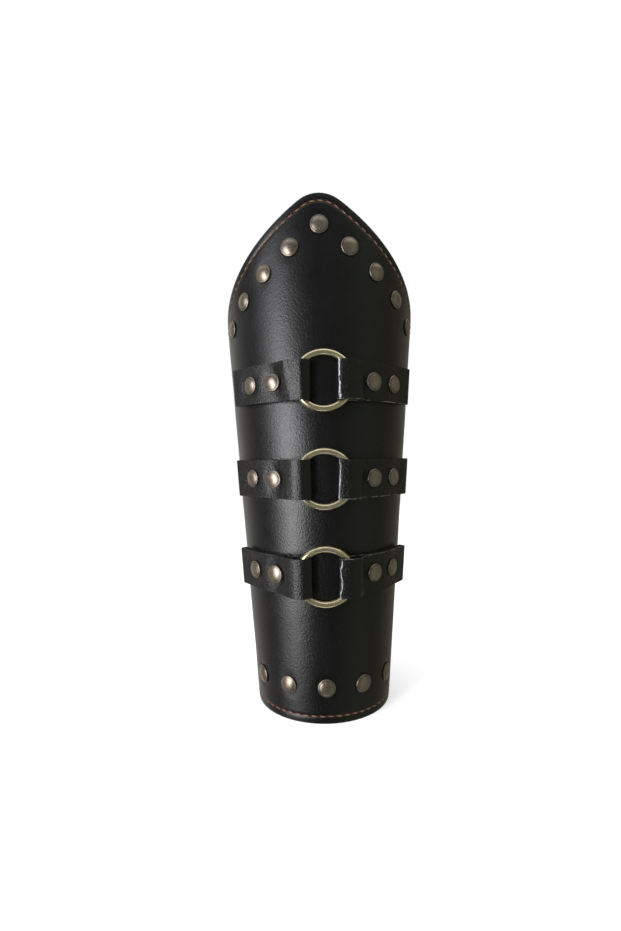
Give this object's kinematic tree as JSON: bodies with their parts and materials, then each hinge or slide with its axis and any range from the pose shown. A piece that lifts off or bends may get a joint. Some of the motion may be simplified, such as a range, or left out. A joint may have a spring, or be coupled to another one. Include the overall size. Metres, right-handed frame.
{
  "type": "forearm bracer",
  "caption": "Stiff conical leather forearm bracer with a pointed crown, metal rings held by riveted tabs down the front, and a laced opening at the back.",
  "frame": {"origin": "middle of the bracer's bounding box at the level of the wrist rim, on which it stands", "axes": "+Z from the wrist to the point at the elbow; the front with the rings faces -Y; +X is to the right in the picture; the open back faces +Y"},
  "size_m": [0.1134, 0.1122, 0.27],
  "materials": {
    "outer_leather": "smooth black leather, semi-gloss, with black cut edges",
    "lining_leather": "black split leather, matt",
    "tab_leather": "black strap leather with a fine grain, semi-gloss",
    "ring": "plated steel wire, pale champagne nickel, polished",
    "rivet_cap": "antique nickel, slightly worn",
    "rivet_post": "antique nickel, plain",
    "eyelet": "antique nickel, rolled rim",
    "eyelet_washer": "antique nickel, plain"
  },
  "bodies": {
    "bracer": {"outer_shell": "outer_leather", "lining": "lining_leather", "tab_upper_left": "tab_leather", "tab_upper_right": "tab_leather", "tab_middle_left": "tab_leather", "tab_middle_right": "tab_leather", "tab_lower_left": "tab_leather", "tab_lower_right": "tab_leather", "tab_rivet_caps_upper": "rivet_cap", "tab_rivet_caps_middle": "rivet_cap", "tab_rivet_caps_lower": "rivet_cap", "tab_rivet_posts_upper": "rivet_post", "tab_rivet_posts_middle": "rivet_post", "tab_rivet_posts_lower": "rivet_post", "crown_rivet_caps": "rivet_cap", "crown_rivet_posts": "rivet_post", "wrist_rivet_caps": "rivet_cap", "wrist_rivet_posts": "rivet_post", "eyelets_left": "eyelet", "eyelets_right": "eyelet", "eyelet_washers_left": "eyelet_washer", "eyelet_washers_right": "eyelet_washer"},
    "upper_ring": {"ring_upper": "ring"},
    "middle_ring": {"ring_middle": "ring"},
    "lower_ring": {"ring_lower": "ring"}
  },
  "joints": [
    {"name": "upper_ring_spin", "type": "hinge", "parent": "bracer", "child": "upper_ring", "pos_m": [0, -0.05027, 0.17593], "axis": [0, -0.9966, -0.0823], "continuous": true},
    {"name": "middle_ring_spin", "type": "hinge", "parent": "bracer", "child": "middle_ring", "pos_m": [0, -0.04617, 0.12633], "axis": [0, -0.9966, -0.0823], "continuous": true},
    {"name": "lower_ring_spin", "type": "hinge", "parent": "bracer", "child": "lower_ring", "pos_m": [0, -0.04207, 0.07673], "axis": [0, -0.9966, -0.0823], "continuous": true}
  ]
}
